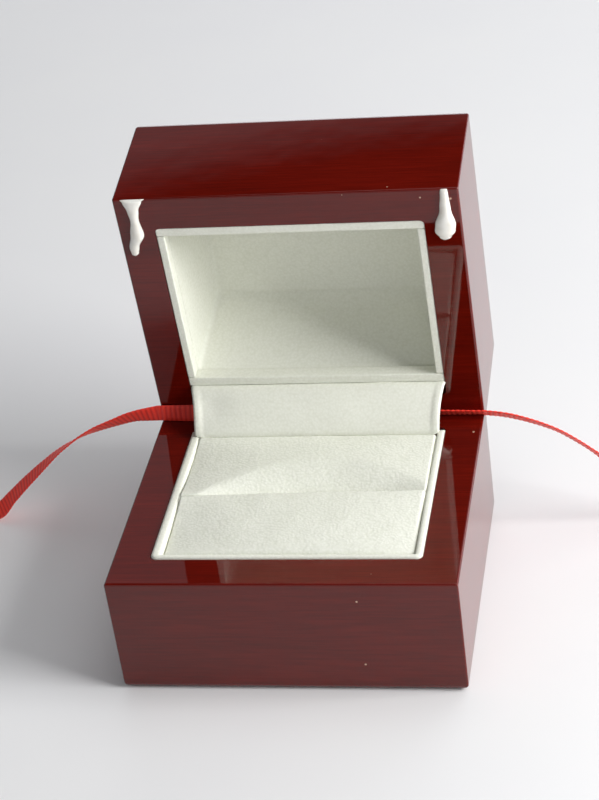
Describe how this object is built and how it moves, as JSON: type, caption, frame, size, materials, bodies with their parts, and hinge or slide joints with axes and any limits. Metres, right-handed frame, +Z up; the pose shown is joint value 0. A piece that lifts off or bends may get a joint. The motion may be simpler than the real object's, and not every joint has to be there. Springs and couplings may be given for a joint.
{
  "type": "ring box",
  "caption": "Open wooden ring box: hinged lacquered lid, white-lined base with slotted ring pad, hinge cover flap and a narrow ribbon led out at both sides.",
  "frame": {"origin": "centre of the flat underside of the base, on the surface that the box stands on", "axes": "+X to the right along the hinge line, +Y from the front to the back, +Z up"},
  "size_m": [0.1895, 0.0733, 0.0754],
  "materials": {
    "mahogany_lacquer": "high-gloss clear lacquer over red-brown mahogany",
    "white_leatherette": "fine-grained white leatherette, satin",
    "pad_foam": "open-cell cushion foam, matt",
    "lining_card": "grey-buff lining card, matt",
    "hinge_steel": "zinc-plated spring steel",
    "brass": "plain brass",
    "grosgrain_ribbon": "red ribbed grosgrain, satin",
    "dried_glue": "dried white glue, glossy"
  },
  "bodies": {
    "base": {"base_shell": "mahogany_lacquer", "base_collar": "white_leatherette", "ring_pad_cover": "white_leatherette", "hinge_cover": "white_leatherette", "foam_front": "pad_foam", "foam_rear": "pad_foam", "pad_board": "lining_card", "hinge_base_leaf": "hinge_steel", "hinge_pin_left": "hinge_steel", "hinge_pin_right": "hinge_steel", "base_leaf_screw_left": "brass", "base_leaf_screw_right": "brass", "ribbon_through": "grosgrain_ribbon", "ribbon_left_tail": "grosgrain_ribbon", "ribbon_right_tail": "grosgrain_ribbon"},
    "lid": {"lid_shell": "mahogany_lacquer", "lid_liner": "white_leatherette", "lid_strip_front": "white_leatherette", "lid_strip_rear": "white_leatherette", "lid_strip_left": "white_leatherette", "lid_strip_right": "white_leatherette", "lid_board": "lining_card", "hinge_lid_leaf": "hinge_steel", "lid_leaf_screw_left": "brass", "lid_leaf_screw_right": "brass", "glue_run_left": "dried_glue", "glue_run_right": "dried_glue"},
    "spring": {"hinge_spring": "hinge_steel"}
  },
  "joints": [
    {"name": "lid_hinge", "type": "hinge", "parent": "base", "child": "lid", "pos_m": [0, 0.0236, 0.0231], "axis": [1, 0, 0], "range_deg": [0, 81.2], "deforming": ["hinge_cover", "ribbon_through"]},
    {"name": "spring_swing", "type": "hinge", "parent": "base", "child": "spring", "pos_m": [0, 0.0236, 0.0231], "axis": [1, 0, 0], "range_deg": [0, 40.6]}
  ],
  "couplings": [
    {"joint": "spring_swing", "follows": "lid_hinge", "ratio": 0.5}
  ]
}
